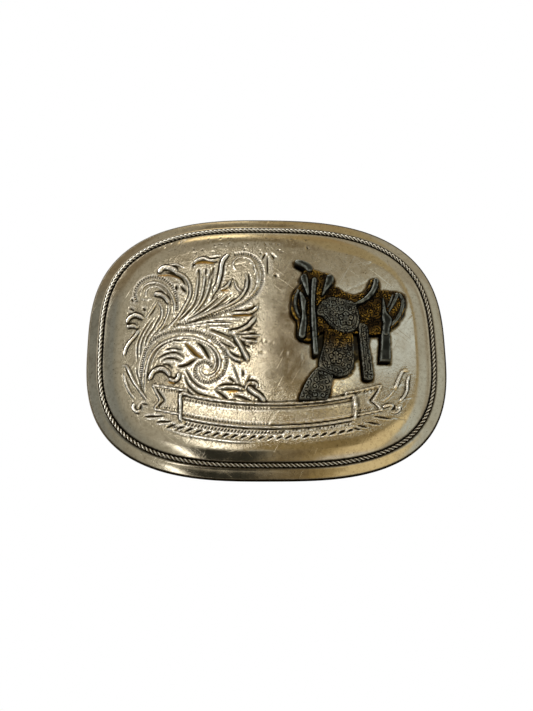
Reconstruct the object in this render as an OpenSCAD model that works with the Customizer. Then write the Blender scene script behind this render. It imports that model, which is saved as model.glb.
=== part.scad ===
// Western dress belt buckle, upright as it is worn: +X is the viewer's right, +Z is up and the
// face looks towards -Y. Each piece is drawn lying down first, with X right, Y up and Z out of
// the face, where Z = 0 is the crest of the face; as_worn() then stands it up.

/* [Face plate] */
// Width of the plate
plate_w = 89; // [87:0.5:91]
// Height of the plate
plate_h = 67.3; // [66:0.1:69]
// Squareness of the outline: 2 is an ellipse, higher is squarer
squareness = 2.85; // [2.6:0.05:3.1]
// How far the two ends bend back behind the middle
bend_rise = 3; // [2:0.1:4]
// Thickness of the struck sheet
sheet_t = 1.2; // [1:0.1:1.4]
// Height of the crest above the edge
dome_rise = 2.4; // [2.2:0.1:2.8]
// Slope of the plain rim
rim_slope = 15; // [10:1:18]
// Width of the pillowed band inside the rope
pillow_w = 4.8; // [4:0.1:5.5]

/* [Rope border] */
// Distance from the plate's edge to the middle of the rope
rope_inset = 3.55; // [3.3:0.05:3.8]
// Diameter of the twisted wire
rope_d = 1.15; // [1:0.05:1.3]

/* [Saddle figure] */
// Thickness of the casting at its skirts
figure_t = 1.4; // [1.2:0.1:1.6]
// Extra height of the boldest relief
figure_relief = 1.1; // [0.8:0.1:1.2]
// Radius of the rivets that hold the casting
rivet_r = 0.8; // [0.6:0.1:1]

/* [Bail] */
// Width of the strap that the bail takes
strap_w = 38; // [37:0.5:39]
// Diameter of the bail's wire
wire_d = 3.2; // [2.8:0.1:3.4]
// Distance from the hinge axis to the outer bar
bail_reach = 20.5; // [19:0.5:21]
// Distance of the hinge axis to the right of the middle
bail_x = 12.5; // [11:0.5:13]
// Distance of the hinge axis behind the plate
bail_standoff = 3.2; // [3.1:0.1:3.6]
// Tilt of the folded bail away from the plate
bail_tilt = 3.5; // [3:0.5:6]

/* [Belt stud] */
// Distance of the stud to the left of the middle
stud_x = 29.5; // [28:0.5:31]
// Radius of the post
post_r = 2; // [1.6:0.1:2.2]
// Length of the post up to its domed end
post_len = 8; // [7:0.5:9]
// Lean of the post towards the bail
post_lean = 12; // [8:1:15]

/* [Hidden] */

half_w = plate_w / 2;
half_h = plate_h / 2;
bend_r = (half_w * half_w + bend_rise * bend_rise) / (2 * bend_rise);
back_r = bend_r - sheet_t;
seat_gap = 0.03;
fit_gap = 0.05;
round_fn = 48;
bend_fn = 1440;

// Plate profile: how deep below the crest the front lies at an inset from the edge
segments = 90;
edge_r = sheet_t / 2;
rope_r = rope_d / 2;
groove_r = rope_r + 0.05;
rope_h = -dome_rise + rope_inset * tan(rim_slope) + 0.1;
pillow_start = rope_inset + groove_r;
pillow_end = pillow_start + pillow_w;
pillow_drop = dome_rise - pillow_start * tan(rim_slope);
field_steps = 5;
pillow_steps = 5;

// Hardware on the back
bracket_len = 34;
bracket_t = 1;
flange_reach = 7;
bore_r = wire_d / 2 + fit_gap;
bend_corner_r = 3.6;
bail_w = strap_w + 1.5 + wire_d;
base_r = 5;
base_t = 1;
spigot_r = 1.2;
spigot_len = 0.85;
collar_r = 2.6;
collar_len = 1.5;
solder_leg = 0.9;
rivet_head_r = 1.7;
rivet_head_t = 0.7;
rivet_depth = 0.9;
rivet_places = [[23.45, -6], [28, 8]];

function drop(x) = bend_r - sqrt(bend_r * bend_r - x * x);
bail_z = -(sheet_t + drop(bail_x) + bail_standoff);
post_z = -(sheet_t + drop(stud_x) + base_t);

// The middle of the whole buckle's depth, from the front string's near edge to the tip of the stud
front_string_edge = 10.28;
figure_front = figure_t + figure_relief - drop(front_string_edge);
stud_back = post_z - post_len * cos(post_lean) - post_r;
mid_depth = (figure_front + stud_back) / 2;

module as_worn() rotate([90, 0, 0]) translate([0, 0, -mid_depth]) children();

// Moves a child from the middle of the plate round the bend to the distance x
module on_bend(x)
    translate([0, 0, -bend_r]) rotate([0, asin(x / bend_r), 0]) translate([0, 0, bend_r]) children();

// A cylinder about the axis of the bend, long enough to pass the plate
module bend_cylinder(r)
    translate([0, 0, -bend_r]) rotate([90, 0, 0]) cylinder(r = r, h = plate_h, center = true, $fn = bend_fn);

// ---- outline and plate profile ----

function outline_point(a) =
    let (c = abs(cos(a)) / half_w, s = abs(sin(a)) / half_h,
         r = pow(pow(c, squareness) + pow(s, squareness), -1 / squareness))
    [r * cos(a), r * sin(a)];

function outline_normal(p) =
    let (nx = sign(p[0]) * pow(abs(p[0]), squareness - 1) / pow(half_w, squareness),
         ny = sign(p[1]) * pow(abs(p[1]), squareness - 1) / pow(half_h, squareness),
         m = norm([nx, ny]))
    [nx / m, ny / m];

function inset_point(a, d) = let (p = outline_point(a)) p - d * outline_normal(p);

function on_plate(p, h) = [p[0], p[1], sqrt(pow(bend_r + h, 2) - p[0] * p[0]) - bend_r];

function rim_h(d) = -dome_rise + d * tan(rim_slope);
function pillow_h(d) = -pillow_drop * pow(1 - (d - pillow_start) / pillow_w, 2);

// [inset, height] pairs from the start of the field, over the front, round the edge to the back
front_pillow = [for (i = [0:pillow_steps - 1])
    let (d = pillow_end - pillow_w * i / pillow_steps) [d, pillow_h(d)]];
front_groove = [for (a = [20:-35:-160])
    [rope_inset + groove_r * cos(a), rope_h + groove_r * sin(a)]];
front_rim = [for (d = [2.2, 1.2]) [d, rim_h(d)]];
edge_round = [for (a = [90:-45:-90])
    [edge_r - edge_r * cos(a), rim_h(edge_r) - edge_r + edge_r * sin(a)]];
back_rim = [for (d = [1.8, rope_inset]) [d, rim_h(d) - sheet_t]];
back_pillow = [for (i = [pillow_steps - 1:-1:0])
    let (d = pillow_end - pillow_w * i / pillow_steps) [d, pillow_h(d) - sheet_t]];
band = concat(front_pillow, front_groove, front_rim, edge_round, back_rim, back_pillow);

function band_ring(dh) = [for (i = [0:segments - 1])
    on_plate(inset_point(i * 360 / segments, dh[0]), dh[1])];

function field_ring(f, h) = [for (i = [0:segments - 1])
    on_plate(f * inset_point(i * 360 / segments, pillow_end), h)];

// A closed shell through rings of equal length, with a point at each end
module shell(first, rings, last) {
    n = len(rings[0]);
    count = len(rings);
    points = concat([first], [for (r = rings) each r], [last]);
    tip = len(points) - 1;
    function at(r, i) = 1 + r * n + (i % n);
    faces = concat(
        [for (i = [0:n - 1]) [0, at(0, i + 1), at(0, i)]],
        [for (r = [0:count - 2]) for (i = [0:n - 1]) [at(r, i), at(r, i + 1), at(r + 1, i + 1)]],
        [for (r = [0:count - 2]) for (i = [0:n - 1]) [at(r, i), at(r + 1, i + 1), at(r + 1, i)]],
        [for (i = [0:n - 1]) [tip, at(count - 1, i), at(count - 1, i + 1)]]);
    polyhedron(points = points, faces = faces, convexity = 6);
}

module rivet_holes(r)
    for (p = rivet_places)
        on_bend(p[0]) translate([0, p[1], -sheet_t - 1])
            cylinder(r = r, h = sheet_t + 1 + rivet_depth, $fn = round_fn);

module face_plate() {
    field = [for (k = [1:field_steps - 1]) field_ring(k / field_steps, 0)];
    back = [for (k = [field_steps - 1:-1:1]) field_ring(k / field_steps, -sheet_t)];
    rings = concat(field, [for (dh = band) band_ring(dh)], back);
    color("darkkhaki") as_worn()
        difference() {
            shell([0, 0, 0], rings, [0, 0, -sheet_t]);
            rivet_holes(rivet_r + fit_gap);
        }
}

// ---- rope border: a wire ring of round section, half sunk in its groove ----

module rope_border() {
    sides = 8;
    points = [for (i = [0:segments - 1]) for (j = [0:sides - 1])
        let (b = j * 360 / sides)
        on_plate(inset_point(i * 360 / segments, rope_inset + rope_r * cos(b)), rope_h + rope_r * sin(b))];
    function at(i, j) = (i % segments) * sides + (j % sides);
    faces = [for (i = [0:segments - 1]) for (j = [0:sides - 1]) each [
        [at(i, j), at(i, j + 1), at(i + 1, j + 1)],
        [at(i, j), at(i + 1, j + 1), at(i + 1, j)]]];
    color("gainsboro") as_worn() polyhedron(points = points, faces = faces, convexity = 6);
}

// ---- saddle figure ----

// A closed smooth curve through the points
function smooth(p, steps = 3) =
    let (n = len(p))
    [for (i = [0:n - 1]) for (k = [0:steps - 1])
        let (t = k / steps, a = p[(i + n - 1) % n], b = p[i], c = p[(i + 1) % n], d = p[(i + 2) % n])
        0.5 * (2 * b + (c - a) * t + (2 * a - 5 * b + 4 * c - d) * t * t
               + (3 * b - a - 3 * c + d) * t * t * t)];

// A strap along a line of [x, y, half width] points
module strap(line) {
    n = len(line);
    p = [for (k = line) [k[0], k[1]]];
    side = [for (i = [0:n - 1])
        let (d = p[min(i + 1, n - 1)] - p[max(i - 1, 0)]) line[i][2] * [-d[1], d[0]] / norm(d)];
    left = [for (i = [0:n - 1]) p[i] + side[i]];
    right = [for (i = [n - 1:-1:0]) p[i] - side[i]];
    polygon(concat(left, right));
}

// A flat outline raised from the plate's front to the height h, curved like the plate
module raised(h)
    intersection() {
        translate([0, 0, -5]) linear_extrude(height = 12) children();
        difference() {
            bend_cylinder(bend_r + h);
            bend_cylinder(bend_r + seat_gap);
        }
    }

skirt_outline = [[8.7, 14.4], [7.2, 13.4], [6.2, 12], [5.7, 10], [5.5, 8], [5.9, 6.3], [6.7, 5], [7, 3.6],
                 [6.9, 0.9], [8, 0.1], [9.9, -0.4], [11.6, 0.6], [13.4, 2.2], [21, 1.8], [26, 1.6],
                 [28.4, 2.4], [31.1, 4.4], [32.4, 6], [33.5, 8], [34.1, 10.4], [34, 12.1], [33.1, 12.9],
                 [30.2, 13.3], [27.6, 13.4], [27.6, 15], [27.3, 16.3], [26.4, 16.5], [25.6, 16],
                 [24.9, 14.4], [23.8, 12.9], [22.4, 12.1], [20.6, 11.9], [18.6, 12.6], [16, 14]];
fork_outline = [[8.4, 16.6], [9.2, 17.9], [11.2, 18.2], [12.8, 17.6], [15.1, 17.1], [16, 16.3],
                [16, 15.1], [15.4, 14], [13.4, 11.6], [10, 11.6], [8.6, 14.2]];
horn_outline = [[6.9, 20.4], [8.2, 20.4], [9.6, 19.9], [10.6, 19], [10.7, 17.9], [9.9, 17.5],
                [9, 18.4], [7.8, 19.2], [6.7, 19.8]];
seat_outline = [[11.7, 6.3], [12.8, 5.9], [13.8, 4.9], [14.9, 3.5], [16.1, 2.5], [17.5, 1.9], [18.9, 1.8],
                [20.3, 2.3], [21.5, 3.5], [22, 5.1], [21.9, 6.9], [21.3, 8.9], [20.2, 9.9],
                [17.7, 10.5], [15.2, 10.8], [13.2, 9.8], [11.9, 7.9]];
fender_outline = [[13.7, 2.4], [17, 2.6], [20.2, 1.8], [20.4, -3.6], [20, -6.9], [18.8, -8.4],
                  [17, -9.1], [15.2, -8.8], [13.2, -7.8], [11.9, -6.6], [12.4, -3.6], [13.2, -0.6]];
stirrup_outline = [[11.8, -7], [13.4, -7.6], [15, -8.6], [14.7, -10.5], [14.2, -12.8], [13.7, -14.5],
                   [12.8, -14.9], [10.4, -14.9], [7.6, -14.9], [7.1, -14.5], [7.9, -12.4],
                   [9.2, -9.8], [10.6, -8]];
billet_outline = [[21.9, 4], [23.9, 3.6], [24.1, -0.6], [24.6, -5.6], [24.8, -8.9], [24.3, -9.8],
                  [22.9, -9.8], [22.5, -8.9], [22.3, -5], [22, 0]];

// Straps and bands of the casting, as [x, y, half width] along each
fork_left = [[8.6, 16.5, 0.3], [8.9, 14, 0.55], [9.6, 11.4, 0.15]];
fork_right = [[15.5, 16.6, 0.5], [15.1, 14.9, 0.6], [13.2, 11.2, 0.15]];
front_string = [[11.2, 15.4, 0.5], [10.8, 11.1, 0.42], [10.7, 7.1, 0.4], [10.8, 4.2, 0.52],
                [10.9, 0.3, 0.46], [11.1, -4, 0.5]];
second_string = [[7.8, 11.7, 0.25], [8.4, 9.8, 0.6], [8.4, 7.8, 0.34], [8.5, 5.2, 0.5],
                 [8.1, 2.4, 0.7], [7.9, 0.4, 0.72]];
cantle_band = [[20.8, 9, 0.14], [22.5, 9.7, 0.34], [24.2, 10.9, 0.44], [25.6, 12.5, 0.5],
               [26.4, 14.2, 0.55], [26.7, 16.1, 0.5]];
rear_string = [[28.2, 11, 0.1], [28.4, 7, 0.42], [29, 5, 1.1], [28.5, 3, 0.9], [28.2, -1, 1.1],
               [27.9, -5.1, 1.15]];

module saddle_figure() {
    top = figure_t + figure_relief;
    color("dimgray") as_worn()
        difference() {
            union() {
                raised(figure_t) polygon(smooth(skirt_outline));
                raised(top - 0.7) polygon(smooth(fork_outline));
                raised(top - 0.2) polygon(smooth(horn_outline));
                raised(top - 0.2) strap(fork_left);
                raised(top - 0.2) strap(fork_right);
                raised(top - 0.4) polygon(smooth(seat_outline));
                raised(top) strap(cantle_band);
                raised(top - 0.8) polygon(smooth(fender_outline));
                raised(top - 0.9) polygon(smooth(stirrup_outline));
                raised(top) strap(front_string);
                raised(top - 0.3) strap(second_string);
                raised(top - 0.6) polygon(smooth(billet_outline));
                raised(top - 0.3) strap(rear_string);
            }
            rivet_holes(rivet_r + fit_gap);
        }
}

module figure_rivets() {
    color("goldenrod") as_worn()
        for (p = rivet_places)
            on_bend(p[0]) translate([0, p[1], -sheet_t]) {
                translate([0, 0, -seat_gap])
                    cylinder(r = rivet_r, h = sheet_t + rivet_depth - fit_gap, $fn = round_fn);
                translate([0, 0, -seat_gap - rivet_head_t])
                    cylinder(r1 = rivet_head_r - 0.4, r2 = rivet_head_r, h = rivet_head_t, $fn = round_fn);
            }
}

// ---- hinge bracket and bail ----

// A slab against the plate's back, from x1 to x2
module back_slab(x1, x2, length, t)
    intersection() {
        translate([x1, -length / 2, -12]) cube([x2 - x1, length, 12]);
        difference() {
            bend_cylinder(back_r - seat_gap);
            bend_cylinder(back_r - seat_gap - t);
        }
    }

module along_hinge() translate([bail_x, 0, bail_z]) rotate([90, 0, 0]) children();

module hinge_bracket() {
    barrel_r = bore_r + bracket_t;
    color("darkgray") as_worn()
        difference() {
            union() {
                back_slab(bail_x - flange_reach, bail_x + flange_reach, bracket_len, bracket_t);
                along_hinge() cylinder(r = barrel_r, h = bracket_len, center = true, $fn = round_fn);
                translate([bail_x - barrel_r, -bracket_len / 2, bail_z])
                    cube([2 * barrel_r, bracket_len, bail_standoff - bracket_t / 2]);
            }
            along_hinge() cylinder(r = bore_r, h = bracket_len + 2, center = true, $fn = round_fn);
        }
}

// The section of a solder fillet in the corner between the plate's back and a part's side
module fillet_section(side = 1)
    polygon([[0, 0], [side * solder_leg, 0], [side * solder_leg, -0.15], [0, -solder_leg]]);

// A fillet along one edge of the bracket's flange; side is 1 or -1
module flange_fillet(side) {
    edge = bail_x + side * (flange_reach + 2 * seat_gap);
    on_bend(edge * bend_r / (back_r - solder_leg)) translate([0, 0, -sheet_t - seat_gap])
        rotate([90, 0, 0]) linear_extrude(height = bracket_len, center = true) fillet_section(side);
}

module bracket_solder() {
    color("lightgray") as_worn() {
        flange_fillet(1);
        flange_fillet(-1);
    }
}

module wire_bar(length) rotate([90, 0, 0]) cylinder(d = wire_d, h = length, center = true, $fn = round_fn);

module wire_corner()
    rotate_extrude(angle = 90, $fn = 96) translate([bend_corner_r, 0]) circle(d = wire_d, $fn = 32);

module bail_loop() {
    bar = bail_w - 2 * bend_corner_r;
    arm = bail_reach - 2 * bend_corner_r;
    color("silver") as_worn()
        translate([bail_x, 0, bail_z]) rotate([0, bail_tilt, 0]) {
            wire_bar(bar);
            translate([bail_reach, 0, 0]) wire_bar(bar);
            for (side = [1, -1]) {
                translate([bail_reach / 2, side * bail_w / 2, 0]) rotate([0, 0, 90]) wire_bar(arm);
                mirror([0, side < 0 ? 1 : 0, 0]) {
                    translate([bail_reach - bend_corner_r, bar / 2, 0]) wire_corner();
                    translate([bend_corner_r, bar / 2, 0]) rotate([0, 0, 90]) wire_corner();
                }
            }
        }
}

// ---- belt stud ----

module along_post() translate([-stud_x, 0, post_z]) rotate([0, 180 - post_lean, 0]) children();

module stud_base() {
    color("darkgray") as_worn()
        difference() {
            intersection() {
                on_bend(-stud_x) translate([0, 0, -sheet_t - base_t - 1])
                    cylinder(r = base_r, h = base_t + 2, $fn = round_fn);
                back_slab(-stud_x - base_r - 1, -stud_x + base_r + 1, 2 * base_r + 2, base_t);
            }
            along_post() cylinder(r = spigot_r + fit_gap, h = 6, center = true, $fn = round_fn);
        }
}

// The post stands on a collar, so its straight side starts clear of the base
dome_steps = 5;
post_foot = [[0, -1], [collar_r, -1], [collar_r, collar_len], [post_r, collar_len]];
post_profile = concat(post_foot, [for (k = [0:dome_steps])
    let (a = 90 * k / dome_steps) [post_r * cos(a), post_len + post_r * sin(a)]]);

module belt_stud() {
    color("silver") as_worn() {
        difference() {
            along_post() rotate_extrude($fn = round_fn) polygon(post_profile);
            on_bend(-stud_x) translate([0, 0, -sheet_t - base_t - 2 * seat_gap])
                cylinder(r = base_r, h = 4, $fn = round_fn);
        }
        along_post() translate([0, 0, -spigot_len]) cylinder(r = spigot_r, h = spigot_len + 1, $fn = round_fn);
    }
}

module stud_solder() {
    ring_r = base_r + 2 * seat_gap;
    hollow = pow(ring_r + solder_leg, 2) / (2 * back_r);
    color("lightgray") as_worn()
        on_bend(-stud_x) translate([0, 0, -sheet_t - hollow - seat_gap]) rotate_extrude($fn = round_fn)
            translate([ring_r, 0]) fillet_section();
}

face_plate();
rope_border();
saddle_figure();
figure_rivets();
hinge_bracket();
bracket_solder();
bail_loop();
stud_base();
belt_stud();
stud_solder();
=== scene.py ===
# A western plate buckle, upright as worn: the face looks towards -Y and +Z is up.
# Outlines and ornament are given in millimetres on the lying plate, X right and Y up, with
# heights measured out of the face from its crest.
import bpy
import bmesh
import math
import numpy as np
from mathutils import Matrix, Vector


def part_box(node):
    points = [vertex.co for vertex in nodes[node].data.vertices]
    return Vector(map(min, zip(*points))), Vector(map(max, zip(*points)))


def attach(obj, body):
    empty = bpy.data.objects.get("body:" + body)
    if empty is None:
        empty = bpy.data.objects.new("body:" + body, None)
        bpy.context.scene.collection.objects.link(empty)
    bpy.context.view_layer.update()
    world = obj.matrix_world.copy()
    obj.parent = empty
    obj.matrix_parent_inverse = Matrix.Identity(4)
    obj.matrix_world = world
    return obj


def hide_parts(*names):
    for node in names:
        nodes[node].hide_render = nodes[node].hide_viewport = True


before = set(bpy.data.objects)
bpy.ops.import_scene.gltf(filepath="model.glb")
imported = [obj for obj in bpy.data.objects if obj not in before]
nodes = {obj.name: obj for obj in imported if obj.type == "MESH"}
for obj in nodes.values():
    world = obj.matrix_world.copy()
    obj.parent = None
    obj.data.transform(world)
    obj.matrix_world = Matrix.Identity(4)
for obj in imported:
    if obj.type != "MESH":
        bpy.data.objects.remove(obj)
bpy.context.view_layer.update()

MM = 0.001
plate_low, plate_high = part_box("face_plate")
HALF_W = (plate_high.x - plate_low.x) / 2 / MM
HALF_H = (plate_high.z - plate_low.z) / 2 / MM
CREST_Y = plate_low.y
SQUARENESS = 2.85
BEND_RISE = 3.0
BEND_R = (HALF_W ** 2 + BEND_RISE ** 2) / (2 * BEND_RISE)
SHEET_T = 1.2
DOME_RISE = 2.4
RIM_TAN = math.tan(math.radians(15))
ROPE_INSET = 3.55
ROPE_R = 0.575
ROPE_H = -DOME_RISE + ROPE_INSET * RIM_TAN + 0.1
GROOVE_R = ROPE_R + 0.05
PILLOW_START = ROPE_INSET + GROOVE_R
PILLOW_W = 4.8
PILLOW_DROP = DOME_RISE - PILLOW_START * RIM_TAN


# ---- geometry helpers

def world_points(x, y, h):
    """Plate points as metres in the frame: x and y in mm, h mm out of the bent crest surface."""
    out = np.sqrt((BEND_R + h) ** 2 - x ** 2) - BEND_R
    return np.stack([x * MM, CREST_Y - out * MM, y * MM], -1)


def outline(angle):
    """The plate's edge: a superellipse, by polar angle."""
    c = np.abs(np.cos(angle)) / HALF_W
    s = np.abs(np.sin(angle)) / HALF_H
    r = (c ** SQUARENESS + s ** SQUARENESS) ** (-1 / SQUARENESS)
    return np.stack([r * np.cos(angle), r * np.sin(angle)], -1)


def inset_outline(angle, inset):
    p = outline(angle)
    inset = np.asarray(inset, float)[..., None] if np.ndim(inset) else inset
    power = SQUARENESS - 1
    n = np.sign(p) * np.abs(p) ** power / np.array([HALF_W, HALF_H]) ** SQUARENESS
    n /= np.linalg.norm(n, axis=-1, keepdims=True)
    return p - inset * n


def path(text):
    """The points of a line written as "x y, x y"."""
    return [tuple(float(value) for value in point.split()) for point in text.split(",")]


def smooth_line(points, steps=8, closed=False):
    """A Catmull-Rom curve through the points."""
    p = np.array(points, float)
    if closed:
        ext = np.vstack([p[-1:], p, p[:2]])
    else:
        ext = np.vstack([2 * p[:1] - p[1:2], p, 2 * p[-1:] - p[-2:-1]])
    t = (np.arange(steps) / steps)[:, None]
    out = []
    for a, b, c, d in zip(ext[:-3], ext[1:-2], ext[2:-1], ext[3:]):
        out.append(0.5 * (2 * b + (c - a) * t + (2 * a - 5 * b + 4 * c - d) * t ** 2
                          + (3 * b - a - 3 * c + d) * t ** 3))
    if not closed:
        out.append(p[-1:])
    return np.vstack(out)


def segment_distance(px, py, line):
    """Least distance to an open line, its signed side, and how far along it the foot lies, 0 to 1."""
    best = np.full(px.shape, 1e9)
    side = np.zeros(px.shape)
    along = np.zeros(px.shape)
    step = np.linalg.norm(np.diff(line, axis=0), axis=1)
    run = np.concatenate([[0], np.cumsum(step)])
    total = max(run[-1], 1e-9)
    for k, (a, b) in enumerate(zip(line[:-1], line[1:])):
        d = b - a
        length2 = max(float(d @ d), 1e-12)
        t = np.clip(((px - a[0]) * d[0] + (py - a[1]) * d[1]) / length2, 0, 1)
        ex, ey = px - a[0] - t * d[0], py - a[1] - t * d[1]
        dist = np.hypot(ex, ey)
        near = dist < best
        best = np.where(near, dist, best)
        side = np.where(near, np.sign(d[0] * ey - d[1] * ex), side)
        along = np.where(near, (run[k] + t * step[k]) / total, along)
    return best, side, along


def polygon_distance(px, py, poly):
    """Signed distance to a closed outline, negative inside."""
    dist, _, _ = segment_distance(px, py, np.vstack([poly, poly[:1]]))
    inside = np.zeros(px.shape, bool)
    for a, b in zip(poly, np.roll(poly, -1, axis=0)):
        crosses = (a[1] > py) != (b[1] > py)
        if a[1] != b[1]:
            inside ^= crosses & (px < (b[0] - a[0]) * (py - a[1]) / (b[1] - a[1]) + a[0])
    return np.where(inside, -dist, dist)


def make_object(name, verts, faces):
    mesh = bpy.data.meshes.new(name)
    mesh.from_pydata(verts.tolist(), [], faces)
    mesh.polygons.foreach_set("use_smooth", [True] * len(mesh.polygons))
    mesh.update()
    obj = bpy.data.objects.new(name, mesh)
    bpy.context.scene.collection.objects.link(obj)
    return obj


def store(obj, name, values):
    layer = obj.data.attributes.new(name, "FLOAT", "POINT")
    layer.data.foreach_set("value", np.asarray(values, np.float32))


# ---- relief drawing

class Relief:
    """Raised and cut strokes on a structured grid of plate points."""

    def __init__(self, x, y):
        self.x, self.y = x, y
        self.up = np.zeros(x.shape)
        self.down = np.zeros(x.shape)
        self.gold = np.zeros(x.shape)

    def stroke(self, style, width, depth, points, taper=0.2, curved=True):
        line = smooth_line(points) if curved and len(points) > 2 else np.array(points, float)
        low, high = line.min(0) - width, line.max(0) + width
        near = ((self.x > low[0]) & (self.x < high[0]) & (self.y > low[1]) & (self.y < high[1]))
        if not near.any():
            return
        dist, side, along = segment_distance(self.x[near], self.y[near], line)
        ends = np.clip(np.minimum(along, 1 - along) / max(taper, 1e-6), 0, 1)
        half = np.maximum(width / 2 * np.sqrt(ends + 0.04), 0.05)
        s = dist / half
        inside = s < 1
        fade = np.sqrt(ends + 0.1) / math.sqrt(1.1)
        if style == "ridge":
            shape = np.clip(1 - s ** 2, 0, 1)
            self.up[near] = np.maximum(self.up[near], depth * fade * shape)
        elif style == "gold":
            self.gold[near] = np.maximum(self.gold[near], np.where(inside, 1 - s ** 2, 0))
        else:
            if style == "cut":
                shape = 1 - s
            else:
                lean = s * side * (1 if style == "left" else -1)
                shape = np.where(lean > -0.55, 1 - (lean + 0.55) / 1.55, (lean + 1) / 0.45)
            shape = np.where(inside, np.clip(shape, 0, 1), 0)
            self.down[near] = np.maximum(self.down[near], depth * fade * shape)

    def hatch(self, points, pitch, length, width=0.36, depth=0.28, lean=0.0):
        """Short cuts across a line, at a constant pitch."""
        line = smooth_line(points, 16)
        step = np.linalg.norm(np.diff(line, axis=0), axis=1)
        run = np.concatenate([[0], np.cumsum(step)])
        for s in np.arange(pitch / 2, run[-1], pitch):
            k = min(int(np.searchsorted(run, s, side="right")) - 1, len(step) - 1)
            t = (line[k + 1] - line[k]) / max(step[k], 1e-9)
            p = line[k] + t * (s - run[k])
            n = np.array([-t[1], t[0]]) + lean * t
            n *= length / 2 / np.linalg.norm(n)
            self.stroke("cut", width, depth, [p - n, p + n], taper=0.3, curved=False)

    def height(self):
        return self.up - self.down


def blurred(a, reach):
    """A box blur of a grid, done one axis at a time."""
    for axis in (0, 1):
        total = np.zeros_like(a)
        pad = [(reach, reach) if k == axis else (0, 0) for k in (0, 1)]
        wide = np.pad(a, pad, mode="edge")
        for k in range(2 * reach + 1):
            total += np.take(wide, np.arange(k, k + a.shape[axis]), axis=axis)
        a = total / (2 * reach + 1)
    return a


# ---- the plate's ornament

# Points of a line are text: X and Y in mm, with a comma between points

# Raised veins of the fan of leaves: width, height, line from the root outwards
FAN_VEINS = [
    (0.75, 0.2, "-24.8 3, -22.5 5.5, -20.6 8.8, -19.3 12, -19.6 15, -21.2 17.2, -24.2 18.5"),
    (0.5, 0.13, "-23.9 3.4, -20.4 7.2, -18.4 10.2, -17.7 14, -17.4 18.4"),
    (0.5, 0.13, "-23.4 3.7, -19.6 6.8, -17.3 9.8, -16.2 13.6, -15.7 18.8"),
    (0.5, 0.13, "-23 3.9, -18.8 6.9, -16.2 10.2, -14.9 13.6, -13.9 18.9"),
    (0.5, 0.13, "-22.2 4.2, -17.2 7.4, -14.4 9.6, -11.9 12.2"),
    (0.5, 0.13, "-21.6 4.3, -16 7.2, -12.6 9.6, -9.6 12.4"),
    (0.5, 0.13, "-21.2 4.4, -14.6 7.4, -10.8 9.3, -8.4 11.4"),
    (0.8, 0.2, "-20.6 4.5, -13.4 7.6, -8.6 9.9, -6 12.6, -5.3 15.4, -5.7 17.8"),
    (0.6, 0.16, "-20.6 4, -14.5 5.2, -10.2 5.7, -6.2 5.3"),
    (0.6, 0.16, "-20 3.6, -14 4.3, -10.6 4.3, -8.2 4.1"),
    (0.5, 0.14, "-15.6 3.2, -12 3.3, -9.2 3"),
]

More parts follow.
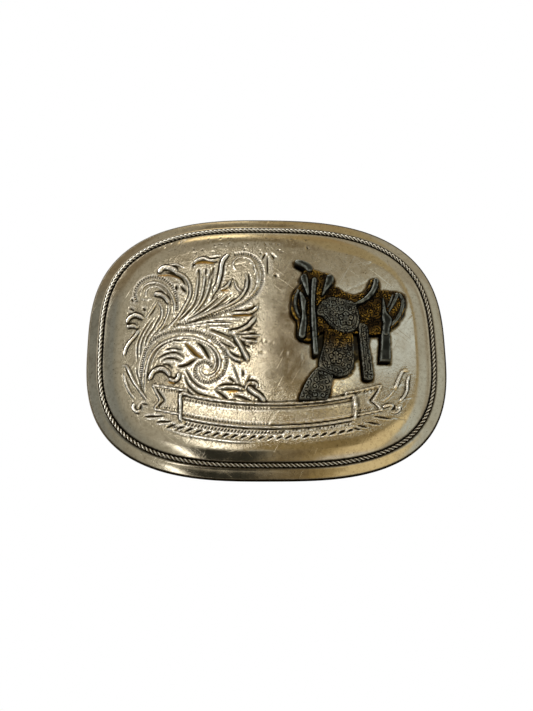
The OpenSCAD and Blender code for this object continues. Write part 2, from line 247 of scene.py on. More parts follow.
# Bold leaf edges that stand proud: width, height, line
LEAF_RIDGES = [
    (1.5, 0.34, "-27.2 18, -26.2 19.2, -24.6 19.2, -22.6 18.3"),
    (0.5, 0.16, "-25 19.9, -23 20.2, -21 19.3"),
    (1, 0.3, "-18.6 20.2, -17.6 21.2, -16 21.6, -14 21.1, -12.4 21.4"),
    (1.1, 0.32, "-13.6 12, -12.4 15.4, -11.8 18.6, -11.3 21, -9.8 23"),
    (0.8, 0.26, "-9.2 7, -6.8 7.1, -4.6 7.3, -3.2 8.2, -2.6 9.4"),
    (0.7, 0.24, "-12.3 13.1, -10.4 14, -9.2 16"),
    (0.6, 0.2, "-8.4 15.6, -7.7 13.7, -6.6 12.6"),
    (1.1, 0.3, "-28.2 12.3, -26.6 12.2, -25.2 11.2, -24.4 9.8"),
    (0.6, 0.16, "-24.4 9.8, -24.5 7.2, -25.4 4.6, -27 2"),
    (0.6, 0.2, "-27.4 10.3, -28.6 8, -29.9 6"),
    (0.6, 0.16, "-27.2 10.3, -26.1 8.6, -26.2 5.8, -27.6 3.4"),
    (1, 0.3, "-34.6 5, -34 6.2, -32.7 6.9, -31.2 6.4, -30.5 5.8"),
    (0.8, 0.26, "-34.6 3.8, -33.2 4.2, -31.9 3.7"),
    (0.8, 0.28, "-31.4 3.2, -32.2 1.8, -33.5 0.2, -34.5 -1.6, -34.9 -3.6"),
    (0.7, 0.22, "-35.2 -5.9, -33.9 -6.4, -32.6 -9.2, -30.8 -12, -28.8 -14.8"),
    (0.8, 0.16, "-34.7 -7.6, -34.2 -10, -33.2 -12.3, -31.8 -14.2"),
    (1.2, 0.3, "-28.6 -9.6, -27.6 -7.7, -26 -6.9, -24.5 -7.5, -23.6 -8.8"),
    (0.9, 0.28, "-23.8 -9.4, -22.7 -10, -21.7 -9.3, -21.5 -7.9"),
    (1, 0.3, "-9.9 2, -7.2 2.5, -4.8 4, -3.1 6.2"),
    (0.8, 0.24, "-9.4 1.7, -6.4 1.9, -3.4 2.4"),
    (0.8, 0.24, "-9.2 1.5, -6 1.1, -2.3 1.3"),
    (0.8, 0.24, "-8.8 1.3, -5.8 0.1, -2.9 -0.4"),
    (1.3, 0.3, "-8.4 1.2, -6.9 -1, -5.9 -3.2, -5 -5.1"),
    (0.9, 0.26, "-10.3 -2, -9.2 -3.8, -7.8 -4.7, -6.2 -5"),
    (0.6, 0.18, "-15.2 2.6, -11.8 1, -9.6 -0.2, -7.9 -1.8"),
    (1, 0.28, "-12.4 -11.9, -10 -11.6, -7.4 -11.8, -5.9 -12.4"),
    (0.7, 0.22, "-5.8 -12.2, -5.2 -10.9, -4.1 -10.4, -3 -10.9, -3.1 -11.9"),
    (1.4, 0.3, "-5.2 -11.6, -3.8 -12.8, -2.2 -13.8, -1.2 -15.2"),
    (0.8, 0.24, "-31.7 -15.2, -32.1 -16.3, -31.2 -17.4, -30.3 -16.9"),
    (0.8, 0.2, "27 -16.2, 28.8 -15.6, 29.9 -16"),
    (0.6, 0.2, "31.1 -15.6, 31.2 -16.6, 30.3 -17.4, 29.2 -17.4"),
    (0.9, 0.16, "30.2 -11.8, 31.6 -8.6, 32.6 -7, 34 -6.8"),
    (0.7, 0.2, "34.2 -7.6, 33.6 -9.4, 33.3 -11.6, 32.4 -13.4, 31 -14.8"),
    (0.5, 0.14, "30.2 -11.8, 28.6 -13.6, 26.8 -15"),
]

# Raised lines of the two big scrolls: width, height, line
SCROLL_RIDGES = [
    (0.6, 0.18,
        "-29.6 -13, -29.4 -8, -28.6 -4, -26.6 -1.2, -23.6 0.4, -20 0.9, -16.6 0.2, -13.6 -1.6, "
        "-12.1 -4, -11.9 -6.4, -13 -8.4, -14.8 -9.1, -16.2 -8.2, -16.2 -6.8, -15.2 -6.2"),
    (0.45, 0.14, "-28.4 -6.6, -27 -3, -24.6 -0.8, -21.6 -0.2, -18.6 -0.2"),
    (0.45, 0.14, "-16.4 -0.6, -14 -2.4, -12.9 -4.8, -13.2 -6.8, -14.2 -7.8"),
    (0.5, 0.16, "-31.6 12.2, -31 14, -29.6 15.2, -27.8 15.4, -25.8 14.5, -24.2 12.6, -23 9.6, -23.2 6.4"),
    (0.45, 0.14, "-30.2 11.6, -30.1 13.3, -28.8 14.3, -27.2 14.2, -25.7 13, -24.9 11.8"),
    (0.45, 0.14, "-31.4 11.2, -30 10.8, -28.6 11.2"),
    (0.5, 0.16, "-8.2 18.6, -8.8 20.2, -7.4 21.8, -5.2 21.8, -3.6 20.2, -3.2 17.4"),
    (0.45, 0.14, "-4.9 21, -3.3 19.2, -2.7 16.6, -3.2 13.6, -4.8 11.2"),
]

# Shading cuts, deepest on their left as drawn: width, depth, line
SHADE_CUTS = [
    (0.8, 0.3, "-26.9 -4.4, -24.6 -3.1, -22.4 -2.8, -20.4 -4"),
    (0.8, 0.28, "-26 -5, -24.2 -4.2, -22.4 -4.4, -21 -5.2"),
    (0.7, 0.26, "-25.4 -2.3, -23.2 -1.7, -20.8 -2.2"),
    (1.1, 0.34, "-20.3 -0.5, -18.9 -1.9, -17.5 -3.5, -15.7 -4.4"),
    (1.2, 0.34, "-17.4 -0.3, -15.8 -1.6, -14.9 -3.2, -14.2 -4.8"),
    (1.1, 0.34, "-22.1 -6.3, -20 -6, -18.6 -5.2, -17.3 -4.3"),
    (0.7, 0.24, "-25.6 -5.7, -24.2 -5.8, -23.2 -6.8"),
    (0.7, 0.24, "-20.1 -6.8, -18.6 -9.4, -16.8 -11.2, -14.6 -12.2"),
    (0.8, 0.26, "-20.3 -8.4, -19.1 -11, -16.8 -13, -13.6 -13.9"),
    (0.6, 0.24, "-19.5 -11.6, -18.8 -13, -17.4 -13.9"),
    (0.9, 0.32, "-15.9 21.9, -14 21.6, -12 22.2"),
    (0.9, 0.32, "-18.9 19.3, -18.3 20.6, -17.3 21.5"),
    (0.7, 0.3, "-14.4 9.6, -13.2 12.8, -12.6 16, -12.1 19.6, -11.9 21.6"),
    (0.6, 0.28, "-12.8 12.6, -11.6 16.4, -11.1 20.4, -10 22"),
    (0.9, 0.3, "-14.7 15.8, -14.2 17.8, -13.5 19.3"),
    (0.7, 0.28, "-17.4 17, -17.3 18.9"),
    (0.7, 0.28, "-15.8 17.2, -15.5 19"),
    (1, 0.34, "-22.7 14.6, -22.6 13.2"),
    (1, 0.34, "-21.6 14.4, -20.2 12.6"),
    (0.9, 0.3, "-25.8 18.1, -23.6 17.6, -21.4 16.2, -20.3 14.2"),
    (0.7, 0.3, "-5 17.9, -4.7 15.4, -5.3 13, -7.2 11"),
    (0.7, 0.3, "-5.9 8, -4.2 8.3, -3.4 9.2"),
    (0.6, 0.26, "-9 7.6, -6 7.9"),
    (0.7, 0.28, "-9.5 13.9, -9.5 15.4, -8.8 16.3"),
    (0.9, 0.32, "-12.9 -12.2, -10.4 -11, -7.6 -11.1, -6 -11.8"),
    (0.9, 0.32, "-12.8 -12.4, -11.2 -13.4, -9.8 -14.8"),
    (0.8, 0.3, "-9.7 -9.3, -8.9 -9.8, -8.2 -10.6"),
    (0.8, 0.3, "-9.8 -10.9, -8.8 -11, -8 -11.4"),
    (0.9, 0.3, "-8.5 -13.7, -6.6 -14, -4.4 -14.9"),
    (0.8, 0.3, "-5.5 -10.6, -4.4 -9.9, -3.1 -10.3, -2.6 -11.4"),
    (0.7, 0.28, "-3.4 -12, -2 -13.2, -0.9 -14.8"),
    (0.6, 0.26, "-6.3 -7.4, -6.2 -9"),
    (0.4, 0.2, "-8.8 -5.6, -7.7 -8.8, -6.7 -11.9"),
    (0.5, 0.24, "-4.5 -8.8, -5.7 -11.4"),
    (0.4, 0.18, "-9.3 -9, -7 -11.8"),
    (0.8, 0.3, "-7.6 0.6, -6.2 -1.6, -5.4 -4"),
    (0.7, 0.28, "-10 -2.4, -8.6 -3.4, -7 -4.2"),
    (0.6, 0.26, "-14.6 3.2, -11 1.8, -8.8 0.4"),
    (0.6, 0.26, "-12.4 0.4, -10.4 -1, -8.2 -2"),
    (0.6, 0.26, "-6.4 -0.9, -4.6 -1.5"),
    (0.6, 0.24, "-7.4 1.6, -4.4 1.7"),
    (0.6, 0.24, "-8.2 2.2, -5.6 2.8, -3.8 4.4"),
    (0.8, 0.3, "-31.9 2.8, -32.8 1.4, -33.9 -0.4"),
    (0.8, 0.28, "-27.6 9.6, -28.4 7.8, -29.6 6.2"),
    (0.6, 0.26, "-33.7 11.3, -33.2 10.4"),
    (0.6, 0.26, "-34.2 8.9, -32.8 8.1"),
    (0.6, 0.26, "-34.5 7.5, -33 7.2"),
    (0.7, 0.26, "-30.8 8.8, -30 8"),
    (0.7, 0.26, "-28.2 -9.2, -27.2 -7.2, -25.8 -6.3"),
    (0.7, 0.26, "-34.4 -6.6, -33.2 -8.8, -31.6 -11.4"),
    (0.9, 0.3, "-30.2 -15.4, -30.4 -16.8, -31.2 -17.2"),
    (0.6, 0.26, "-30.2 -15.2, -28.6 -15.8"),
    (0.9, 0.3, "29.2 -15.2, 30 -16.2, 29 -17"),
    (0.5, 0.2, "-0.2 22.8, -0.2 17.4"),
    (0.7, 0.26, "-1.6 21.4, -0.8 23"),
    (0.7, 0.26, "1.6 21.4, 0.5 23.1"),
    (0.8, 0.28, "1.4 17.2, 2.2 16.8"),
]

# Long thin stem lines up the left side
STEM_CUTS = [
    "-31.6 -5, -31.7 -1, -30.6 2.4, -28.4 6.2",
    "-30.9 -4, -30.8 -0.6, -29.7 2.4, -27.6 6",
    "-30 -2, -29.4 1, -27.8 3.6, -26.6 6.6",
    "-29.4 -1.4, -28.2 1.2, -26 4, -24.8 7",
    "-28.4 0.4, -26.4 2.6, -24.6 4.4",
    "-31.9 -6.4, -31.2 -9, -29.8 -12.6",
]

# Rows of short cuts along the stems: pitch, length of a cut, line
HATCH_LINES = [
    (0.56, 0.85,
        "-30.5 -12.6, -30.6 -7.6, -30 -3, -28.2 0.2, -25.2 2, -21.6 2.7, -17.6 2.4, -14.2 1, "
        "-11.6 -1.4, -10.2 -4.4, -10.6 -7.4, -12.2 -9.4, -14.6 -10.4, -16.8 -9.6, -17.8 -7.8, "
        "-17 -5.8, -15 -5.2, -13.8 -6.4"),
    (0.56, 0.85,
        "-22.2 4.3, -17.4 5.4, -12.6 6.8, -8.2 8.6, -4.8 10.6, -2.6 13, -1.6 16, -1.7 19, -3.2 21.7, "
        "-5.8 22.9, -8.6 22.6"),
    (0.6, 0.8,
        "-32.4 10.2, -33 12.6, -32.2 15, -30.2 16.6, -27.8 16.9, -25.4 15.9, -23.6 13.8, -22.6 11, "
        "-22.6 8"),
]

# Gilt left in the hollows: width, line
GOLD_MARKS = [
    (0.9, "-18.2 20.3, -16 20.6, -13.4 20.3"),
    (0.8, "-10.2 -12.9, -7.4 -12.7"),
    (0.7, "-27.4 17.2, -24.6 17.2, -22 16.4"),
    (0.7, "-24 -10.3, -22.6 -10.6"),
    (0.6, "-9 6.3, -4 6.5"),
    (0.5, "-12 13, -9.6 13"),
    (0.8, "-20 -0.6, -16 -4.6"),
]

# A moat cut round each raised line, and how the line stands in it
MOAT_EXTRA = 0.35
MOAT_DEPTH = 0.1
RIDGE_SLIM = 0.86
RIDGE_LIFT = 1.55
THIN_CUT = (0.36, 0.18)

def arc_y(x, middle, curve):
    """A shallow smile, lowest in the middle and a little steeper on the left."""
    return middle + curve * x * x * (1.08 if x < 0 else 1.0)


def smile(x1, x2, middle, curve=0.0056):
    return [(x, arc_y(x, middle, curve)) for x in np.linspace(x1, x2, 9)]


def draw_ribbon(sheet):
    sheet.stroke("ridge", 0.55, 0.26, smile(-20.6, 19.6, -15.75), 0.02)
    sheet.stroke("cut", 0.36, 0.16, smile(-20, 18.6, -16.25), 0.03)
    sheet.hatch(smile(-20.4, 0, -16.95), 0.7, 0.4, 0.46, 0.4, 0.4)
    sheet.stroke("cut", 0.4, 0.16, smile(0, 19.8, -16.95), 0.02)
    sheet.hatch(smile(-20.4, 0, -20.75), 0.7, 0.45, 0.46, 0.5, 0.4)
    sheet.stroke("cut", 0.5, 0.3, smile(0, 19.8, -20.85), 0.02)
    sheet.stroke("ridge", 0.36, 0.2, smile(-20.4, 19.8, -21.45), 0.02)
    sheet.stroke("cut", 0.4, 0.36, smile(-20.4, 19.8, -21.9), 0.02)
    for end in ("-19.2 -13.1, -20.9 -13.2, -21 -16, -20.9 -19.2, -20 -19.9",
                "18.3 -13.9, 20 -13.5, 20.4 -15.4, 20.4 -18.2, 19.6 -19.6"):
        sheet.stroke("ridge", 0.6, 0.3, path(end), 0.05)
    sheet.stroke("ridge", 0.5, 0.2, [(20, -12.6), (18.2, -12.9), (18.2, -14)], 0.05, curved=False)
    sheet.stroke("cut", 0.5, 0.26, [(-18.6, -14.2), (-19.4, -13.7), (-20.6, -13.9)], 0.1)
    left_tail = [(-19.4, -12.5), (-27.7, -10.9), (-25.7, -14.7), (-27.2, -16.8), (-21.2, -18.1)]
    right_tail = [(19.6, -12.7), (27.1, -10.8), (24.8, -14.7), (26.9, -16.9), (20.8, -18.3)]
    for tail in (left_tail, right_tail):
        for p, q in zip(tail[:-1], tail[1:]):
            sheet.stroke("cut", 0.9, 0.1, [p, q], 0.03)
            sheet.stroke("ridge", 0.45, 0.3, [p, q], 0.03)
        inner = [(p[0] * 0.965, -14.6 + (p[1] + 14.6) * 0.72) for p in tail]
        sheet.stroke("cut", 0.6, 0.26, [inner[1], inner[2]], 0.05)
        sheet.stroke("cut", 0.6, 0.26, [inner[2], inner[3]], 0.05)
        sheet.hatch([inner[0], inner[1]], 0.6, 0.35, 0.36, 0.2, 0.4)
        sheet.hatch([inner[3], inner[4]], 0.6, 0.35, 0.36, 0.22, 0.4)


def draw_garland(sheet):
    """Leaf darts and fine hatching under the ribbon."""
    sheet.hatch(smile(-20, 3, -22.6, 0.0052), 0.78, 1.0, 0.46, 0.5, 0.7)
    sheet.hatch(smile(3, 19, -22.3, 0.0052), 0.7, 0.6, 0.3, 0.26, 0.7)
    for x in np.arange(-23, 20, 2.1):
        y = arc_y(x, -24.0, 0.0051)
        reach = 0.75 + 0.012 * abs(x)
        sheet.stroke("right", 0.85, 0.46, [(x - reach, y - 0.25), (x + reach, y + 0.5)], 0.4)
        sheet.stroke("ridge", 0.45, 0.22, [(x - reach + 0.2, y - 0.5), (x + reach, y + 0.1)], 0.4)
    for x, y, reach in [(20.4, -21.6, 1), (21.8, -21, 1.2), (24.4, -20.2, 1.7), (26.9, -18.8, 2.1)]:
        sheet.stroke("left", 0.8, 0.38, [(x - reach, y + 0.35), (x + reach, y - 0.25)], 0.4)
        sheet.stroke("ridge", 0.7, 0.2, [(x - reach, y), (x + reach, y - 0.45)], 0.4)
    for x, y, reach in [(-27.2, -18.8, 2.2), (-24.8, -20.1, 1.8), (-22.6, -21.4, 1.2)]:
        sheet.stroke("left", 0.8, 0.4, [(x - reach, y + 0.2), (x + reach, y + 0.3)], 0.4)
        sheet.stroke("ridge", 0.7, 0.2, [(x - reach, y - 0.2), (x + reach, y - 0.1)], 0.4)
    sheet.stroke("ridge", 0.8, 0.14, path("-24.4 -21.6, -20 -22.9, -15 -23.9, -9 -24.7, -3 -25"), 0.2)


def draw_ornament(sheet):
    for width, depth, points in FAN_VEINS + LEAF_RIDGES + SCROLL_RIDGES:
        sheet.stroke("cut", width + MOAT_EXTRA, MOAT_DEPTH, path(points), 0.1)
        sheet.stroke("ridge", RIDGE_SLIM * width, RIDGE_LIFT * depth, path(points), 0.12)
    for width, depth, points in SHADE_CUTS:
        sheet.stroke("left", width, depth, path(points), 0.35)
    for points in STEM_CUTS:
        sheet.stroke("cut", *THIN_CUT, path(points), 0.2)
    for _, _, points in FAN_VEINS[1:8]:
        sheet.stroke("cut", *THIN_CUT, [(x + 0.42, y - 0.2) for x, y in path(points)], 0.2)
    for pitch, length, points in HATCH_LINES:
        sheet.hatch(path(points), pitch, length, 0.4, 0.34)
    for width, points in GOLD_MARKS:
        sheet.stroke("gold", width, 1, path(points), 0.3)
    draw_ribbon(sheet)
    draw_garland(sheet)


def draw_wear(sheet):
    """Pits and dents along the upper left, hairlines all over, and the two short nicks near the top."""
    rng = np.random.default_rng(7)
    for _ in range(70):
        x = rng.uniform(-27, 6)
        y = 25.6 + rng.normal(0, 1.6)
        turn = rng.uniform(0, math.pi)
        reach = rng.uniform(0.08, 0.3)
        dx, dy = reach * math.cos(turn), reach * math.sin(turn)
        width, depth = rng.uniform(0.3, 0.6), rng.uniform(0.05, 0.18)
        sheet.stroke("cut", width, depth, [(x - dx, y - dy), (x + dx, y + dy)], 0.4)
    for x, y1, y2 in [(9.6, 28.3, 26.6), (9.9, 25.6, 24.2)]:
        sheet.stroke("cut", 0.34, 0.2, [(x, y1), (x + 0.1, y2)], 0.3)
    for _ in range(120):
        x, y = rng.uniform(-36, 36), rng.uniform(-24, 27)
        turn = rng.normal(1.3, 0.7)
        reach = rng.uniform(1, 5)
        dx, dy = reach * math.cos(turn), reach * math.sin(turn)
        sheet.stroke("cut", 0.3, rng.uniform(0.015, 0.05), [(x - dx, y - dy), (x + dx, y + dy)], 0.3)


# ---- struck plate

COARSE = 6


def graded(parts):
    """Positions from 0 to 1, spaced by (length, count) stretches."""
    steps = np.concatenate([np.full(count, length / count) for length, count in parts])
    run = np.concatenate([[0], np.cumsum(steps)])
    return run / run[-1]


def patch(angles_bottom, angles_right, angles_top, angles_left, inset, u, v):
    """A grid of points that fills the plate inside an inset, from its four boundary runs."""
    bottom, top = inset_outline(angles_bottom, inset), inset_outline(angles_top, inset)
    left, right = inset_outline(angles_left, inset), inset_outline(angles_right, inset)
    uu, vv = u[None, :, None], v[:, None, None]
    grid = (1 - vv) * bottom[None] + vv * top[None] + (1 - uu) * left[:, None] + uu * right[:, None]
    corners = ((1 - uu) * (1 - vv) * bottom[0] + uu * (1 - vv) * bottom[-1]
               + (1 - uu) * vv * top[0] + uu * vv * top[-1])
    return grid - corners


def boundary_angles(u, v):
    """Polar angles of the four runs, each from left to right or from bottom to top."""
    corner = math.atan2(HALF_H, HALF_W)
    half_x = np.interp(u, [0, 1], [-1, 1])
    half_y = np.interp(v, [0, 1], [-1, 1])
    top = math.pi / 2 - np.arctan(half_x * math.tan(math.pi / 2 - corner))
    right = np.arctan(half_y * math.tan(corner))
    return -top, right, top, math.pi - right


def ring_index(rows, columns):
    """Grid indices round the patch's boundary, anticlockwise from its lower left corner."""
    idx = np.arange(rows * columns).reshape(rows, columns)
    return np.concatenate([idx[0, :-1], idx[:-1, -1], idx[-1, :0:-1], idx[:0:-1, 0]])


def ring_angles(u, v):
    bottom, right, top, left = boundary_angles(u, v)
    return np.concatenate([bottom[:-1], right[:-1], top[:0:-1], left[:0:-1]])


def inset_of(x, y):
    """Distance inside the plate's outline."""
    line = outline(np.linspace(0, 2 * math.pi, 361))
    out = np.full(x.shape, 20.0)
    k = (np.abs(x) / HALF_W) ** SQUARENESS + (np.abs(y) / HALF_H) ** SQUARENESS
    near = k > 0.25
    dist, _, _ = segment_distance(x[near], y[near], line)
    out[near] = dist
    return out


def pillow_height(inset):
    inner = np.clip((inset - PILLOW_START) / PILLOW_W, 0, 1)
    return -PILLOW_DROP * (1 - inner) ** 2


# Tarnish and painted shade round the saddle, and painted shade in the gaps between its parts: where each
# starts and how far it reaches
STAIN_AND_SHADE_START = 1.2
STAIN_AND_SHADE_REACH = 1.15
GAP_SHADE_START = 0.3
GAP_SHADE_SPAN = 0.25


def tarnish_and_shade_of(x, y):
    """Brown tarnish with painted shade close round the saddle, darkest at its edge, and painted shade in the
    gaps between its parts.
    """
    near = (x > 4) & (x < 36) & (y > -17) & (y < 22)
    away = np.full(x.shape, 9.0)
    away[near] = saddle_outline_distance(x[near], y[near])
    stain_and_shade = np.clip(STAIN_AND_SHADE_START - away / STAIN_AND_SHADE_REACH, 0, 1)
    # Painted shade in the narrow gaps between the saddle's parts
    between = blurred(blurred((away < 0) * 1.0, 4), 4)
    return np.maximum(stain_and_shade, np.clip((between - GAP_SHADE_START) / GAP_SHADE_SPAN, 0, 1))


def grid_faces(rows, columns, start=0, flip=False):
    idx = start + np.arange(rows * columns).reshape(rows, columns)
    quads = np.stack([idx[:-1, :-1], idx[:-1, 1:], idx[1:, 1:], idx[1:, :-1]], -1).reshape(-1, 4)
    return (quads[:, ::-1] if flip else quads).tolist()


def ring_faces(outer, inner):
    """Quads between two rings of equal length."""
    o, i = np.array(outer), np.array(inner)
    return np.stack([o, np.roll(o, -1), np.roll(i, -1), i], -1).tolist()


def front_profile():
    """[inset, height] pairs from the inner lip of the groove out to the middle of the edge."""
    groove = [(ROPE_INSET + GROOVE_R * math.cos(a), ROPE_H + GROOVE_R * math.sin(a))
              for a in np.radians([-15, -50, -90, -130, -165])]
    rim = [(d, -DOME_RISE + d * RIM_TAN + 0.05 * (1 - (d / 1.5 - 1) ** 2)) for d in (2.85, 2.3, 1.7, 1.1)]
    e = SHEET_T / 2
    edge = [(e - e * math.cos(a), -DOME_RISE + e * RIM_TAN - e + e * math.sin(a))
            for a in np.radians([90, 55, 25, 0])]
    return groove + rim + edge


def back_profile():
    """[inset, height] pairs from the middle of the edge in to the back's flat."""
    e = SHEET_T / 2
    edge = [(e - e * math.cos(a), -DOME_RISE + e * RIM_TAN - e - e * math.sin(a))
            for a in np.radians([30, 60, 90])]
    rim = [(d, -DOME_RISE + d * RIM_TAN - SHEET_T) for d in (1.6, 2.6, ROPE_INSET)]
    return edge + rim


# Relief in mm that counts as fully dark, fully raised or worked; raised crests are rubbed bright, and on the
# plate they carry a painted highlight too
CAVITY_FULL = 0.085
RAISED_FULL = 0.07
WORKED_FULL = 0.05


def build_plate():
    u = graded([(2.6, 6), (36, 216), (37, 114), (2.6, 6)])
    v = graded([(5, 11), (48.5, 211), (5.2, 12)])
    bottom, right, top, left = boundary_angles(u, v)
    front = patch(bottom, right, top, left, PILLOW_START, u, v)
    x, y = front[..., 0], front[..., 1]
    sheet = Relief(x, y)
    draw_ornament(sheet)
    draw_wear(sheet)
    relief = sheet.height()
    inset = inset_of(x, y)
    height = relief + pillow_height(inset)
    # The tarnish attribute carries brown tarnish and painted shade round and between the saddle's parts
    tarnish = tarnish_and_shade_of(x, y)
    level = blurred(relief, 3)
    cavity = np.clip((level - relief) / CAVITY_FULL, 0, 1)
    worked = np.clip(blurred(blurred(np.abs(relief), 6), 6) / WORKED_FULL, 0, 1)
    # Painted shade on the pillow just inside the rope's groove
    cavity = np.maximum(cavity, 0.75 * np.clip((PILLOW_START + 0.6 - inset) / 0.5, 0, 1))
    # Raised crests: rubbed metal, lightened further as a painted highlight
    rub_and_highlight = np.clip((relief - level) / RAISED_FULL, 0, 1)

    rows, columns = x.shape
    verts = [world_points(x.ravel(), y.ravel(), height.ravel())]
    attrs = {"cavity": [cavity.ravel()], "rub_and_highlight": [rub_and_highlight.ravel()], "gold": [sheet.gold.ravel()],
             "tarnish": [tarnish.ravel()], "worked": [worked.ravel()]}
    faces = grid_faces(rows, columns)
    ring = ring_index(rows, columns)
    angles = ring_angles(u, v)
    count = rows * columns

    def add_ring(ring_a, inset_d, h, cav):
        nonlocal count
        p = inset_outline(ring_a, inset_d)
        verts.append(world_points(p[:, 0], p[:, 1], np.full(len(p), h)))
        for name in attrs:
            attrs[name].append(np.full(len(p), cav if name == "cavity" else 0.0))
        count += len(p)
        return np.arange(count - len(p), count)

    for d, h in front_profile():
        in_groove = abs(d - ROPE_INSET) < GROOVE_R
        # Painted shade on the rims: dark on the rounded outer edge and on the lip beside the rope; the groove
        # under the rope gets grime and painted shade
        edge_and_lip_shade = np.interp(d, [0.3, 0.7, 2.4, 2.85], [1.0, 0.0, 0.0, 0.7])
        new = add_ring(angles, d, h, 0.8 if in_groove else edge_and_lip_shade)
        faces += ring_faces(new, ring)
        ring = new

    # The back carries one point for every COARSE points of the front
    coarse_angles = angles[::COARSE]
    back_profile_points = back_profile()
    new = add_ring(coarse_angles, back_profile_points[0][0], back_profile_points[0][1], 0.0)
    n = len(ring)
    for k in range(len(new)):
        a, b = new[k], new[(k + 1) % len(new)]
        fan = [ring[(k * COARSE + j) % n] for j in range(COARSE + 1)]
        half = COARSE // 2
        faces += [[a, fan[j + 1], fan[j]] for j in range(half)]
        faces.append([a, b, fan[half]])
        faces += [[b, fan[j + 1], fan[j]] for j in range(half, COARSE)]
    ring = new
    for d, h in back_profile_points[1:]:
        new = add_ring(coarse_angles, d, h, 0.0)
        faces += ring_faces(new, ring)
        ring = new

    cu, cv = u[::COARSE], v[::COARSE]
    bottom, right, top, left = boundary_angles(cu, cv)
    back = patch(bottom, right, top, left, PILLOW_START, cu, cv)
    bx, by = back[..., 0], back[..., 1]
    bh = pillow_height(inset_of(bx, by)) - SHEET_T
    rows, columns = bx.shape
    verts.append(world_points(bx.ravel(), by.ravel(), bh.ravel()))
    for name in attrs:
        attrs[name].append(np.zeros(bx.size))
    faces += grid_faces(rows, columns, count, flip=True)
    faces += ring_faces(count + ring_index(rows, columns), ring)

    obj = make_object("struck_plate", np.vstack(verts), faces)
    for name, parts in attrs.items():
        store(obj, name, np.concatenate(parts))
    return obj


# ---- rope border

ROPE_LAY = 2.17
STRAND_SPREAD = 0.44
ROPE_STEPS = 14
STRAND_SIDES = 7


def build_rope():
    """Two round wires twisted together and laid in the groove."""
    fine = np.linspace(0, 2 * math.pi, 4001)
    path = inset_outline(fine, ROPE_INSET)
    run = np.concatenate([[0], np.cumsum(np.linalg.norm(np.diff(path, axis=0), axis=1))])
    turns = round(run[-1] / ROPE_LAY)
    total = turns * ROPE_STEPS
    s = np.arange(total) / total
    angle = np.interp(s * run[-1], run, fine)
    strand_r = STRAND_SPREAD * 0.5
    offset = STRAND_SPREAD - strand_r
    verts, faces, crest = [], [], []
    for strand in (0, 1):
        twist = 2 * math.pi * turns * s + strand * math.pi
        base = len(verts) * total
        for side in range(STRAND_SIDES):
            b = twist + side * 2 * math.pi / STRAND_SIDES
            across = offset * np.cos(twist) + strand_r * np.cos(b)
            up = offset * np.sin(twist) + strand_r * np.sin(b)
            p = inset_outline(angle, ROPE_INSET + across)
            verts.append(world_points(p[:, 0], p[:, 1], ROPE_H + up))
            # Darker towards the bottom of the plate
            lower_darkening = 0.22 * np.clip((-15 - p[:, 1]) / 6, 0, 1)
            crest.append(np.hypot(across, up) / STRAND_SPREAD - lower_darkening)
        for side in range(STRAND_SIDES):
            a = base + side * total + np.arange(total)
            b = base + (side + 1) % STRAND_SIDES * total + np.arange(total)
            faces += np.stack([a, np.roll(a, -1), np.roll(b, -1), b], -1).tolist()
    obj = make_object("twisted_rope", np.vstack(verts), faces)
    # Dark where the strands sink towards the rope's middle: grime and painted shade between the wires
    store(obj, "cavity", np.clip((0.86 - np.concatenate(crest)) / 0.3, 0, 1))
    return obj


# ---- saddle figure

